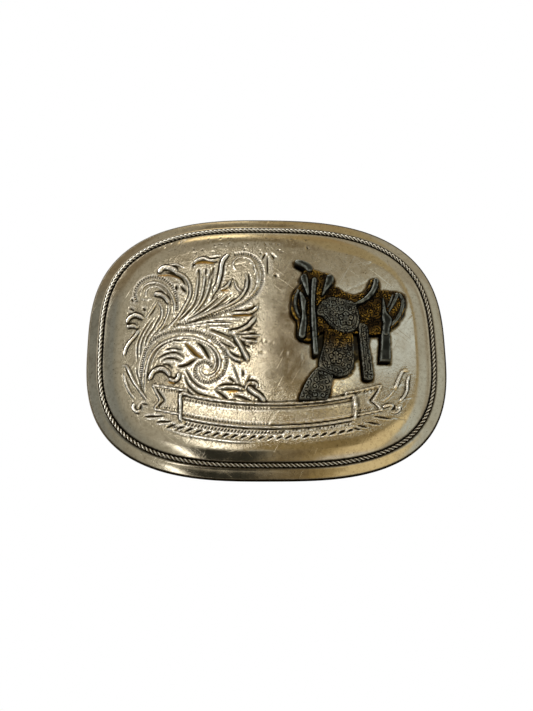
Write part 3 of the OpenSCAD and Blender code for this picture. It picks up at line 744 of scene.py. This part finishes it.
# Outlines: kind of leather, height above the plate, rounding, line
SADDLE_SHAPES = [
    ("dark", 1.4, 0.5,
        "8.7 14.4, 7.2 13.4, 6.2 12, 5.7 10, 5.5 8, 5.9 6.3, 6.7 5, 7 3.6, 6.9 0.9, 8 0.1, 9.9 -0.4, "
        "11.6 0.6, 13.4 2.2, 21 1.8, 26 1.6, 28.4 2.4, 31.1 4.4, 32.4 6, 33.5 8, 34.1 10.4, 34 12.1, "
        "33.1 12.9, 30.2 13.3, 27.6 13.4, 27.6 15, 27.3 16.3, 26.4 16.5, 25.6 16, 24.9 14.4, "
        "23.8 12.9, 22.4 12.1, 20.6 11.9, 18.6 12.6, 16 14"),
    ("dark", 1.8, 0.6,
        "8.4 16.6, 9.2 17.9, 11.2 18.2, 12.8 17.6, 15.1 17.1, 16 16.3, 16 15.1, 15.4 14, 13.4 11.6, "
        "10 11.6, 8.6 14.2"),
    ("dark", 1.65, 0.4, "22 9.9, 25 10.6, 28 10.6, 28.2 6.5, 26.7 5.7, 25.2 5.3, 23.6 5.5, 22.1 6.7"),
    ("grey", 2.1, 0.7,
        "11.7 6.3, 12.8 5.9, 13.8 4.9, 14.9 3.5, 16.1 2.5, 17.5 1.9, 18.9 1.8, 20.3 2.3, 21.5 3.5, "
        "22 5.1, 21.9 6.9, 21.3 8.9, 20.2 9.9, 17.7 10.5, 15.2 10.8, 13.2 9.8, 11.9 7.9"),
    ("fender", 1.7, 0.6,
        "13.7 2.4, 17 2.6, 20.2 1.8, 20.4 -3.6, 20 -6.9, 18.8 -8.4, 17 -9.1, 15.2 -8.8, 13.2 -7.8, "
        "11.9 -6.6, 12.4 -3.6, 13.2 -0.6"),
    ("grey", 1.6, 0.5,
        "11.8 -7, 13.4 -7.6, 15 -8.6, 14.7 -10.5, 14.2 -12.8, 13.7 -14.5, 12.8 -14.9, 10.4 -14.9, "
        "7.6 -14.9, 7.1 -14.5, 7.9 -12.4, 9.2 -9.8, 10.6 -8"),
    ("grey", 1.9, 0.45,
        "21.9 4, 23.9 3.6, 24.1 -0.6, 24.6 -5.6, 24.8 -8.9, 24.3 -9.8, 22.9 -9.8, 22.5 -8.9, 22.3 -5, "
        "22 0"),
    ("plain", 2, 0.4, "27.6 2.5, 29.3 2.5, 29.4 -1, 29.2 -4.9, 28.9 -5.2, 26.9 -5.2, 26.7 -4.9, 27.2 -1"),
    ("plain", 2.3, 0.6,
        "6.9 20.4, 8.2 20.4, 9.6 19.9, 10.6 19, 10.7 17.9, 9.9 17.5, 9 18.4, 7.8 19.2, 6.7 19.8"),
    ("plain", 2.3, 0.5,
        "14.9 16.7, 15.9 16.4, 15.9 15.1, 15.1 13.9, 13.9 12.3, 13 11, 13.4 12.8, 14 14.6, 14.3 15.9"),
    ("plain", 2.3, 0.5,
        "8.2 16.3, 9.1 16.7, 9.5 15.5, 9.7 13.7, 9.8 11.6, 9.4 11.2, 9 12.7, 8.4 14.3, 8 15.5"),
]

# Straps and bands: kind, height, rounding, half widths along it, line
SADDLE_BANDS = [
    ("plain", 2.5, 0.45, (0.5, 0.42, 0.4, 0.52, 0.46, 0.5),
        "11.2 15.2, 10.8 11.1, 10.7 7.1, 10.8 4.2, 10.9 0.3, 11.1 -3.6"),
    ("plain", 2.2, 0.45, (0.25, 0.6, 0.34, 0.5, 0.7, 0.72),
        "7.8 11.7, 8.4 9.8, 8.4 7.8, 8.5 5.2, 8.1 2.4, 7.9 0.9"),
    ("plain", 2.5, 0.45, (0.14, 0.34, 0.44, 0.5, 0.55, 0.5),
        "20.8 9, 22.5 9.7, 24.2 10.9, 25.6 12.5, 26.4 14.2, 26.7 15.6"),
    ("plain", 1.6, 0.3, (0.3, 0.36, 0.36, 0.34, 0.3), "32.7 12.3, 33.3 10.6, 32.8 8.2, 31.6 6, 30.2 4.4"),
    ("plain", 1.6, 0.3, (0.36, 0.3, 0.12), "32 12.3, 31 10.2, 29.6 7.7"),
    ("plain", 1.5, 0.2, (0.14, 0.16, 0.12), "30.8 12.1, 30.1 10.4, 29.4 9"),
    ("plain", 2.2, 0.45, (0.08, 0.28, 0.42, 1.1, 0.8, 0.8),
        "28.2 11, 28.3 9, 28.4 7, 29 5, 28.6 3.4, 28.4 2"),
    ("plain", 1.55, 0.25, (0.2, 0.26, 0.26, 0.2), "7.2 12.6, 6.4 10, 6.6 7.6, 7.4 5.6"),
]

# Borders tooled along the edges of the leather
TOOLED_LINES = [
    "11.9 6.9, 13.1 6.5, 14.2 5.4, 15.3 4.1, 16.4 3.1, 17.7 2.5, 18.9 2.4, 20.1 2.9, 21 3.9, 21.4 5.2, "
    "21.3 6.8, 20.9 8.4",
    "22.4 7.1, 23.8 6, 25.2 5.8, 26.6 6.2, 28 7",
    "22.2 4.9, 24.6 4.6, 27.4 5",
    "14.1 2, 13.7 -0.6, 12.9 -3.6, 12.5 -6.2",
    "19.8 1.6, 19.9 -3.6, 19.5 -6.7",
    "19.5 -6.7, 18.5 -7.9, 17 -8.5, 15.4 -8.2, 13.5 -7.3, 12.5 -6.2",
    "11.4 -7.8, 13.2 -8.2, 14.7 -9.1",
    "22.4 3.4, 22.5 0, 22.8 -5, 23 -8",
    "23.5 3.2, 23.6 -0.6, 24.1 -5.6, 24.2 -8",
    "28.5 1.6, 28.3 -1, 28 -4.6",
    "8.9 13.4, 7.8 12.6, 7 10, 7.2 7.6, 8 5.8",
]

# Patina and tooling of each kind of leather
SADDLE_KINDS = {"dark": (1.0, 1.0), "grey": (0.15, 1.0), "fender": (0.6, 1.0), "plain": (0.0, 0.0)}
SADDLE_PITCH = 0.1
SADDLE_FOOT = -0.12
STOUT = 0.06
SADDLE_CAVITY = 0.12
SADDLE_HOLLOW = 0.5


def rounded_top(s, top, bevel):
    """Height of a slab with a rounded edge, where s is the signed distance to its outline."""
    inner = np.clip(-s / bevel, 0, 1)
    return np.where(s < 0, top - bevel * 0.7 * (1 - np.sqrt(1 - (1 - inner) ** 2)), -9.0)


def saddle_parts(x, y):
    """Signed distance, height and kind of each part of the casting."""
    parts = []
    for kind, top, bevel, points in SADDLE_SHAPES:
        s = polygon_distance(x, y, smooth_line(path(points), 3, closed=True)) - STOUT
        parts.append((s, rounded_top(s, top, bevel), kind))
    for kind, top, bevel, widths, points in SADDLE_BANDS:
        dist, _, along = segment_distance(x, y, smooth_line(path(points), 4))
        s = dist - np.interp(along, np.linspace(0, 1, len(widths)), widths) - STOUT
        parts.append((s, rounded_top(s, top, bevel), kind))
    return parts


def saddle_outline_distance(x, y):
    """Signed distance to the whole figure."""
    return np.min([s for s, _, _ in saddle_parts(x, y)], axis=0)


def curl(tool, cx, cy, r, start, spin, depth):
    """A small tooled spiral with leaves at its back."""
    a = start + spin * np.linspace(0, 6.5, 12)
    rr = np.linspace(r, r * 0.2, 12)
    tool.stroke("cut", 0.34, depth, np.stack([cx + rr * np.cos(a), cy + rr * np.sin(a)], -1), 0.1)
    for sweep in (0.35, 0.95, 1.5):
        b = start - spin * sweep
        tip = (cx + 1.65 * r * math.cos(b), cy + 1.65 * r * math.sin(b))
        root = (cx + 0.95 * r * math.cos(b + spin * 0.4), cy + 0.95 * r * math.sin(b + spin * 0.4))
        tool.stroke("cut", 0.32, depth, [root, tip], 0.3)


def rosette(tool, cx, cy, r, depth=0.34):
    """Five cupped petals round a dark eye."""
    for k in range(5):
        a = k * math.pi / 2.5 + 0.3
        for sweep in (-0.58, 0.58):
            points = [(cx + r * reach * math.cos(a + turn), cy + r * reach * math.sin(a + turn))
                      for reach, turn in ((0.3, 0.5 * sweep), (0.72, sweep), (1, 0))]
            tool.stroke("cut", 0.36, depth, points, 0.1)
        tool.stroke("cut", 0.26, depth * 0.6, [(cx + r * reach * math.cos(a), cy + r * reach * math.sin(a))
                                               for reach in (0.35, 0.75)], 0.3)
    tool.stroke("cut", 0.9, depth, [(cx - 0.05, cy), (cx + 0.05, cy)], 0.01)


def draw_tooling(tool):
    """Flowers, double borders and scrolls stamped in the leather of the cast saddle."""
    rosette(tool, 18.7, 5.2, 2.1)
    rosette(tool, 15.9, -4.6, 1.9)
    rng = np.random.default_rng(12)
    placed = [(18.7, 5.2, 1.8), (15.9, -4.6, 1.6)]
    for _ in range(2600):
        cx, cy = rng.uniform(6, 34), rng.uniform(-14.5, 17.5)
        r = rng.uniform(0.5, 0.75)
        if all(math.hypot(cx - px, cy - py) > 0.92 * (r + pr) for px, py, pr in placed):
            placed.append((cx, cy, r))
            curl(tool, cx, cy, r, rng.uniform(0, 6.3), rng.choice((-1, 1)), 0.28)
    for points in TOOLED_LINES:
        tool.stroke("cut", 0.32, 0.24, path(points), 0.06)


def build_saddle():
    xs = np.arange(4.9, 35.1, SADDLE_PITCH)
    ys = np.arange(-15.6, 21.4, SADDLE_PITCH)
    x, y = np.meshgrid(xs, ys)
    parts = saddle_parts(x, y)
    silhouette = np.min([s for s, _, _ in parts], axis=0)
    stack = np.array([h for _, h, _ in parts])
    smooth_height = np.where(silhouette < 0, stack.max(axis=0), 0.9)
    top = stack.argmax(axis=0)
    patina = np.array([SADDLE_KINDS[kind][0] for _, _, kind in parts])[top]
    tooled = np.array([SADDLE_KINDS[kind][1] for _, _, kind in parts])[top]
    fender = np.array([kind == "fender" for _, _, kind in parts])[top]
    patina = np.where(fender, np.clip(0.75 + 0.2 * (y + 1), 0.2, 1), patina)
    tool = Relief(x, y)
    draw_tooling(tool)
    cuts = tool.down * tooled
    carved = smooth_height - cuts
    height = np.where(silhouette < 0, carved, SADDLE_FOOT)
    level = blurred(carved, 3)
    cavity = np.clip((level - carved) / SADDLE_CAVITY, 0, 1)
    # Painted shade in the low places at the feet of taller parts and between them
    cavity += np.clip((blurred(carved, 7) - carved) / SADDLE_HOLLOW, 0, 1)
    rub = np.clip((carved - level) / RAISED_FULL, 0, 1)

    # Points just outside the outline slide onto it, so that the wall follows the curve
    gy, gx = np.gradient(silhouette, SADDLE_PITCH)
    slope = np.maximum(np.hypot(gx, gy), 0.5)
    band = (silhouette > 0) & (silhouette < 1.5 * SADDLE_PITCH)
    px = np.where(band, x - silhouette * gx / slope ** 2, x)
    py = np.where(band, y - silhouette * gy / slope ** 2, y)

    rows, columns = x.shape
    idx = np.arange(rows * columns).reshape(rows, columns)
    inside = silhouette < 0
    keep = inside[:-1, :-1] | inside[:-1, 1:] | inside[1:, 1:] | inside[1:, :-1]
    quads = np.stack([idx[:-1, :-1], idx[:-1, 1:], idx[1:, 1:], idx[1:, :-1]], -1)[keep]
    used, packed = np.unique(quads, return_inverse=True)
    quads = packed.reshape(quads.shape)
    verts = world_points(px.ravel()[used], py.ravel()[used], height.ravel()[used])
    obj = make_object("saddle_casting", verts, quads.tolist())
    for name, values in (("cavity", np.clip(cavity, 0, 1)), ("rub", rub), ("patina", patina),
                         ("wall", (silhouette >= 0) * 1.0)):
        store(obj, name, values.ravel()[used])
    close_bottom(obj)
    return obj


def close_bottom(obj):
    """Closes the open underside with flat faces."""
    bm = bmesh.new()
    bm.from_mesh(obj.data)
    rim = [e for e in bm.edges if e.is_boundary]
    made = bmesh.ops.triangle_fill(bm, edges=rim, use_beauty=True, use_dissolve=False)
    for g in made["geom"]:
        if isinstance(g, bmesh.types.BMFace):
            g.smooth = False
    bmesh.ops.recalc_face_normals(bm, faces=bm.faces)
    bm.to_mesh(obj.data)
    bm.free()


# ---- materials

class Graph:
    """A node tree with a few short ways to wire it."""

    def __init__(self, tree):
        self.nodes, self.links = tree.nodes, tree.links

    def put(self, source, socket):
        if isinstance(source, bpy.types.NodeSocket):
            self.links.new(source, socket)
        else:
            socket.default_value = source

    def make(self, kind, **sockets):
        node = self.nodes.new("ShaderNode" + kind)
        for key, value in sockets.items():
            self.put(value, node.inputs[key.replace("_", " ")])
        return node

    def spread(self, source, low, high, to_low=0.0, to_high=1.0):
        node = self.make("MapRange", Value=source, From_Min=low, From_Max=high, To_Min=to_low, To_Max=to_high)
        node.interpolation_type = "SMOOTHSTEP"
        return node.outputs["Result"]

    def math(self, kind, a, b=None):
        node = self.make("Math")
        node.operation = kind
        self.put(a, node.inputs[0])
        if b is not None:
            self.put(b, node.inputs[1])
        return node.outputs[0]

    def mix(self, factor, a, b):
        node = self.make("Mix", Factor=factor)
        node.data_type = "RGBA"
        for value, socket in ((a, node.inputs[6]), (b, node.inputs[7])):
            self.put(value if isinstance(value, bpy.types.NodeSocket) else (*value, 1.0), socket)
        return node.outputs[2]


class Shader(Graph):
    """A material round one Principled BSDF."""

    def __init__(self, name, **sockets):
        self.material = bpy.data.materials.new(name)
        self.material.use_nodes = True
        super().__init__(self.material.node_tree)
        self.surface = self.nodes["Principled BSDF"]
        for key, value in sockets.items():
            self.surface.inputs[key.replace("_", " ")].default_value = value
        self.place = self.make("TexCoord").outputs["Object"]

    def noise(self, scale, detail=4.0, rough=0.55, stretch=None):
        source = self.place
        if stretch:
            scales = [1 / k for k in stretch[0]]
            mapping = self.make("Mapping", Vector=source, Rotation=stretch[1], Scale=scales)
            mapping.vector_type = "TEXTURE"
            source = mapping.outputs["Vector"]
        node = self.make("TexNoise", Vector=source, Scale=scale, Detail=detail, Roughness=rough)
        return node.outputs["Fac"]

    def attribute(self, name):
        node = self.make("Attribute")
        node.attribute_name = name
        return node.outputs["Fac"]

    def bump(self, source, strength, distance):
        node = self.make("Bump", Strength=strength, Distance=distance, Height=source)
        previous = self.surface.inputs["Normal"]
        if previous.is_linked:
            self.links.new(previous.links[0].from_socket, node.inputs["Normal"])
        self.links.new(node.outputs["Normal"], previous)

    def colour(self, source):
        self.links.new(source, self.surface.inputs["Base Color"])

    def roughness(self, source):
        self.links.new(source, self.surface.inputs["Roughness"])


def plate_material():
    m = Shader("worn nickel silver", Metallic=1.0)
    cloud = m.spread(m.noise(45, 5), 0.35, 0.68)
    base = m.mix(cloud, (0.70, 0.65, 0.53), (0.58, 0.51, 0.39))
    fine = m.spread(m.noise(1100, 4, 0.65), 0.42, 0.72)
    mottled = m.mix(m.math("MULTIPLY", fine, 0.4), base, (0.34, 0.28, 0.19))
    pits = m.spread(m.noise(2300, 2), 0.66, 0.72)
    pitted = m.mix(m.math("MULTIPLY", pits, 0.7), mottled, (0.12, 0.09, 0.05))
    worked = m.attribute("worked")
    stipple = m.math("MULTIPLY", m.spread(m.noise(2400, 2, 0.6), 0.5, 0.64), worked)
    punched = m.mix(m.math("MULTIPLY", stipple, 0.75), pitted, (0.13, 0.10, 0.055))
    # Brown tarnish further out, then near-black painted shade at the saddle's edge and in its gaps
    ragged_tarnish_and_shade = m.math("ADD", m.attribute("tarnish"), m.math("MULTIPLY", m.noise(700, 4, 0.65), 0.8))
    brown = m.mix(m.spread(ragged_tarnish_and_shade, 0.75, 1.2), punched, (0.14, 0.09, 0.03))
    shaded_near_saddle = m.mix(m.spread(ragged_tarnish_and_shade, 1.15, 1.4), brown, (0.012, 0.009, 0.005))
    # Raised crests near-white: rubbing, and a painted highlight
    bright = m.mix(m.attribute("rub_and_highlight"), shaded_near_saddle, (1.0, 0.98, 0.94))
    # Near-black where the cavity attribute is high: grime in the cut hollows, and painted shade on the rims,
    # beside and under the rope
    speck = m.math("MULTIPLY", m.noise(1400, 3), 0.3)
    grime_and_shade = m.spread(m.math("ADD", m.attribute("cavity"), speck), 0.3, 0.95)
    dirty_and_shaded = m.mix(grime_and_shade, bright, (0.035, 0.026, 0.013))
    gilt = m.mix(m.attribute("gold"), dirty_and_shaded, (0.42, 0.24, 0.05))
    m.colour(gilt)
    rough = m.spread(m.noise(260, 4, 0.6), 0.3, 0.75, 0.08, 0.19)
    m.roughness(m.math("ADD", rough, m.math("MULTIPLY", grime_and_shade, 0.3)))
    m.bump(m.noise(420, 3, 0.5), 1.0, 0.000012)
    m.bump(stipple, 1.0, 0.00002)
    for turn in (0.5, -0.9, 1.35):
        lines = m.noise(1.0, 2, 0.5, ((3000.0, 300.0, 60.0), (0.0, turn, 0.0)))
        m.bump(m.spread(lines, 0.66, 0.74), 1.0, 0.000004)
    return m.material


def rope_material():
    m = Shader("twisted wire", Metallic=0.88)
    # Cream wire, dark brown in the crevices between strands: grime and painted shade
    grime_and_shade = m.spread(m.math("ADD", m.attribute("cavity"), m.math("MULTIPLY", m.noise(300), 0.4)), 0.5, 1.3)
    m.colour(m.mix(grime_and_shade, (0.97, 0.95, 0.88), (0.16, 0.115, 0.06)))
    m.roughness(m.spread(grime_and_shade, 0, 1, 0.3, 0.6))
    m.bump(m.noise(1500, 2), 0.1, 0.00001)
    return m.material


def saddle_material():
    m = Shader("blackened casting", Metallic=0.9)
    rub = m.math("MULTIPLY", m.attribute("rub"), m.spread(m.noise(900, 3), 0.3, 0.6))
    patchy = m.spread(m.noise(300, 3), 0.4, 0.6)
    grey = m.mix(rub, m.mix(patchy, (0.016, 0.018, 0.016), (0.044, 0.048, 0.045)), (0.25, 0.275, 0.265))
    brown = m.mix(m.math("MULTIPLY", rub, patchy), (0.034, 0.02, 0.007), (0.48, 0.29, 0.05))
    leather = m.mix(m.attribute("patina"), grey, brown)
    # Near-black in the cavity: oxide in the tooled cuts, and painted shade between the parts
    grime_and_shade = m.spread(m.math("ADD", m.attribute("cavity"), m.math("MULTIPLY", m.noise(1300), 0.3)), 0.2, 0.6)
    black = m.mix(grime_and_shade, leather, (0.006, 0.005, 0.003))
    # The outline's side walls painted near-black: painted shade
    shaded_walls = m.mix(m.attribute("wall"), black, (0.006, 0.005, 0.003))
    m.colour(shaded_walls)
    m.roughness(m.spread(grime_and_shade, 0, 1, 0.34, 0.6))
    m.bump(m.noise(1700, 3), 0.6, 0.00003)
    return m.material


def hardware_material(name, light, dark, low, high):
    """Plain metal with faint stains and drawing lines."""
    m = Shader(name, Metallic=1.0)
    tarnish = m.spread(m.noise(91, 5), 0.4, 0.7)
    lines = m.noise(1040, 3, 0.6, ((1.0, 1.0, 0.08), (0.0, 0.0, 0.0)))
    m.colour(m.mix(tarnish, light, dark))
    m.roughness(m.spread(lines, 0.3, 0.7, low, high))
    m.bump(lines, 0.15, 0.00002)
    return m.material


def solder_material():
    m = Shader("dull solder", Metallic=0.9)
    m.colour(m.mix(m.spread(m.noise(320, 4), 0.4, 0.65), (0.42, 0.42, 0.42), (0.26, 0.25, 0.23)))
    m.roughness(m.spread(m.noise(700), 0.3, 0.7, 0.4, 0.62))
    m.bump(m.noise(600, 4), 0.5, 0.00008)
    return m.material


def dress(obj, material):
    obj.data.materials.clear()
    obj.data.materials.append(material)


# ---- camera, light and floor

TILT = math.radians(-17.8)
TURN = math.radians(2.5)
ROLL = math.radians(0.5)
CAMERA_DISTANCE = 0.196
LOOK_RIGHT, LOOK_UP = 0.00049, 0.00274
FOCAL_IN_WIDTHS = 800 / 533
EDGE_DEPTH = DOME_RISE + SHEET_T / 2 - SHEET_T / 2 * RIM_TAN


def build_camera():
    """The photograph's viewpoint: a little below the face's axis and almost square to it."""
    turns = Matrix.Rotation(TILT, 3, "X") @ Matrix.Rotation(TURN, 3, "Y") @ Matrix.Rotation(ROLL, 3, "Z")
    lying_to_upright = Matrix(((1, 0, 0), (0, 0, -1), (0, 1, 0)))
    turn = lying_to_upright @ turns.transposed()
    spot = turn @ Vector((-LOOK_RIGHT, -LOOK_UP, CAMERA_DISTANCE)) + Vector((0, CREST_Y + EDGE_DEPTH * MM, 0))
    data = bpy.data.cameras.new("camera")
    data.sensor_fit = "HORIZONTAL"
    data.sensor_width = 36
    data.lens = 36 * FOCAL_IN_WIDTHS
    data.clip_start = 0.01
    camera = bpy.data.objects.new("camera", data)
    camera.matrix_world = Matrix.Translation(spot) @ turn.to_4x4()
    bpy.context.scene.collection.objects.link(camera)
    bpy.context.scene.camera = camera


# The light is not a plain studio. It is a room of soft patches, tuned for the main view so
# that the glossy plate mirrors what it mirrors in the photograph. In order of painting: azimuth from
# and to, elevation from and to (degrees; azimuth 0 is straight out of the face and grows to the
# viewer's right), softness, colour
STUDIO_BASE = (0.42, 0.39, 0.32)
STUDIO_CARDS = [
    (-180, -36, -50, 28, 8, (0.29, 0.28, 0.24)),
    (-180, -50, -30, 14, 5, (0.27, 0.28, 0.27)),
    (-180, -50, 16, 32, 5, (0.18, 0.18, 0.165)),
    (-180, -40, 30, 62, 8, (0.26, 0.21, 0.14)),
    (13, 44, -32, 60, 4, (0.42, 0.345, 0.2)),
    (-62, -47, -22, 26, 4, (0.25, 0.255, 0.24)),
    (42, 66, -20, 32, 4, (0.54, 0.56, 0.52)),
    (70, 77, -20, 32, 2, (0.36, 0.33, 0.26)),
    (15, 42, -34, 5, 4, (0.80, 0.65, 0.38)),
    (76, 92, -20, 35, 4, (0.75, 0.76, 0.7)),
    (-16, 10, 47, 60, 4, (0.25, 0.21, 0.14)),
    (-40, 0, 65, 74, 4, (2.3, 1.9, 1.2)),
    (2, 45, 57, 74, 6, (0.41, 0.31, 0.16)),
    (-180, 180, -95, -52, 5, (0.05, 0.045, 0.03)),
    (96, 180, -95, 40, 6, (0.03, 0.03, 0.025)),
    (-180, -124, -95, 40, 6, (0.12, 0.12, 0.1)),
    (96, 180, 70, 95, 3, (2.4, 2.3, 2.1)),
    (-180, -80, 62, 95, 4, (4.6, 4.5, 4.2)),
    (-180, 180, 81, 95, 3, (2.4, 2.3, 2.1)),
    (-122, -79, -20, 75, 4, (5.2, 5.1, 4.8)),
    (-17, 3, -52, -17, 2, (0.035, 0.035, 0.028)),
    (4, 18, -50, -14, 2.5, (0.34, 0.25, 0.11)),
    (4.5, 11, -45, 58, 2, (0.175, 0.13, 0.07)),
    (-11, 1.2, -13, 21.6, 1.8, (2.55, 2.46, 2.24)),
    (-10.8, -1.5, 14.3, 21.4, 1.3, (4.0, 3.85, 3.5)),
    (-14, 24, 8.5, 13, 1, (0.30, 0.235, 0.13)),
    (-3, 24, -14, 9, 1.2, (0.27, 0.2, 0.09)),
    (-22.8, -19, -42, -18, 1.2, (3.4, 3.3, 3.1)),
    (2, 30, 12.5, 15.2, 0.7, (0.31, 0.23, 0.10)),
    (-14, 32, 22.8, 27, 1.2, (0.34, 0.30, 0.22)),
    (18, 44, -50, -33, 5, (0.75, 0.7, 0.62)),
    (10, 33, 15.6, 21.8, 1, (0.82, 0.93, 0.99)),
    (12.3, 15, 14.3, 17, 0.7, (2.8, 2.5, 1.7)),
]


def band(graph, source, low, high, soft):
    """One between low and high and nothing beyond, with soft ends."""
    rise = graph.spread(source, low - soft, low + soft)
    return graph.math("MULTIPLY", rise, graph.spread(source, high + soft, high - soft))


def build_world():
    """Reflections and light come from the patches, and the camera itself sees plain white."""
    world = bpy.data.worlds.new("studio")
    bpy.context.scene.world = world
    world.use_nodes = True
    graph = Graph(world.node_tree)
    graph.nodes.clear()
    split = graph.make("SeparateXYZ", Vector=graph.make("TexCoord").outputs["Generated"])
    x, y, z = split.outputs
    azimuth = graph.math("DEGREES", graph.math("ARCTAN2", x, graph.math("MULTIPLY", y, -1.0)))
    elevation = graph.math("DEGREES", graph.math("ARCSINE", z))
    colour = STUDIO_BASE
    for az1, az2, el1, el2, soft, shade in STUDIO_CARDS:
        across = band(graph, azimuth, az1, az2, soft)
        mask = graph.math("MULTIPLY", across, band(graph, elevation, el1, el2, soft))
        colour = graph.mix(mask, colour, shade)
    studio = graph.make("Background", Color=colour)
    white = graph.make("Background", Color=(1, 1, 1, 1))
    mix = graph.make("MixShader", Fac=graph.make("LightPath").outputs["Is Camera Ray"])
    graph.put(studio.outputs[0], mix.inputs[1])
    graph.put(white.outputs[0], mix.inputs[2])
    graph.make("OutputWorld", Surface=mix.outputs[0])


FLOOR_Z = -0.15
FLOOR_R = 0.5


def build_floor():
    bm = bmesh.new()
    bmesh.ops.create_circle(bm, cap_ends=True, segments=96, radius=FLOOR_R)
    mesh = bpy.data.meshes.new("floor")
    bm.to_mesh(mesh)
    bm.free()
    floor = bpy.data.objects.new("floor", mesh)
    floor.location.z = FLOOR_Z
    bpy.context.scene.collection.objects.link(floor)
    pale = Shader("pale floor", Roughness=0.9)
    pale.surface.inputs["Base Color"].default_value = (0.86, 0.86, 0.85, 1)
    dress(floor, pale.material)
    floor.visible_glossy = False


# ---- assembly

build_camera()
build_world()
build_floor()
bpy.context.scene.view_settings.view_transform = "Standard"

plate = build_plate()
dress(plate, plate_material())
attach(plate, "plate")
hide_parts("face_plate")

rope = build_rope()
dress(rope, rope_material())
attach(rope, "plate")
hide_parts("rope_border")

saddle = build_saddle()
dress(saddle, saddle_material())
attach(saddle, "plate")
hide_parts("saddle_figure")

wire = hardware_material("plated wire", (0.66, 0.65, 0.62), (0.5, 0.47, 0.4), 0.2, 0.38)
sheet_metal = hardware_material("plain nickel sheet", (0.58, 0.53, 0.43), (0.42, 0.37, 0.28), 0.28, 0.48)
brass = hardware_material("dull brass", (0.72, 0.52, 0.24), (0.4, 0.27, 0.12), 0.28, 0.5)
solder = solder_material()
for name, material in (("bail_loop", wire), ("belt_stud", wire), ("hinge_bracket", sheet_metal),
                       ("stud_base", sheet_metal), ("figure_rivets", brass), ("bracket_solder", solder),
                       ("stud_solder", solder)):
    dress(nodes[name], material)
